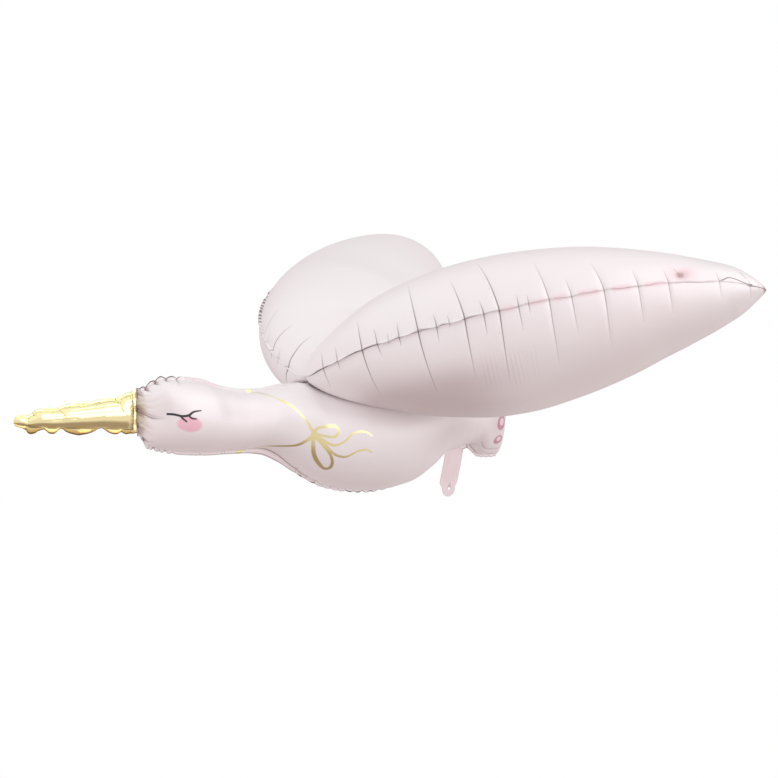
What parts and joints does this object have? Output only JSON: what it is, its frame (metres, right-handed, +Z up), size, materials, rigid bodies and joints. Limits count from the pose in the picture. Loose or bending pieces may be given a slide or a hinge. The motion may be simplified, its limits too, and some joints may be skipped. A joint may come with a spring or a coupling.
{
  "type": "foil stork balloon",
  "caption": "Inflated stork-shaped foil balloon in flight: pearl pink body, one pair of swept wings, gold beak, and a filling tab with a ribbon hole.",
  "frame": {"origin": "centre of the ribbon hole in the filling tab under the body, in the bird's plane of symmetry", "axes": "+Z up as the bird flies, -X towards the beak, +X towards the tail, -Y towards the bird's left wing, +Y towards its right wing"},
  "size_m": [1.5095, 1.335, 0.6216],
  "materials": {
    "pearl_pink_film": "satin pearl pink metallised film with printed lashes, cheeks, ribbon and tail feathers",
    "gold_film": "mirror gold metallised film"
  },
  "bodies": {
    "root": {"body": "pearl_pink_film", "beak": "gold_film", "wings": "pearl_pink_film"}
  },
  "joints": []
}
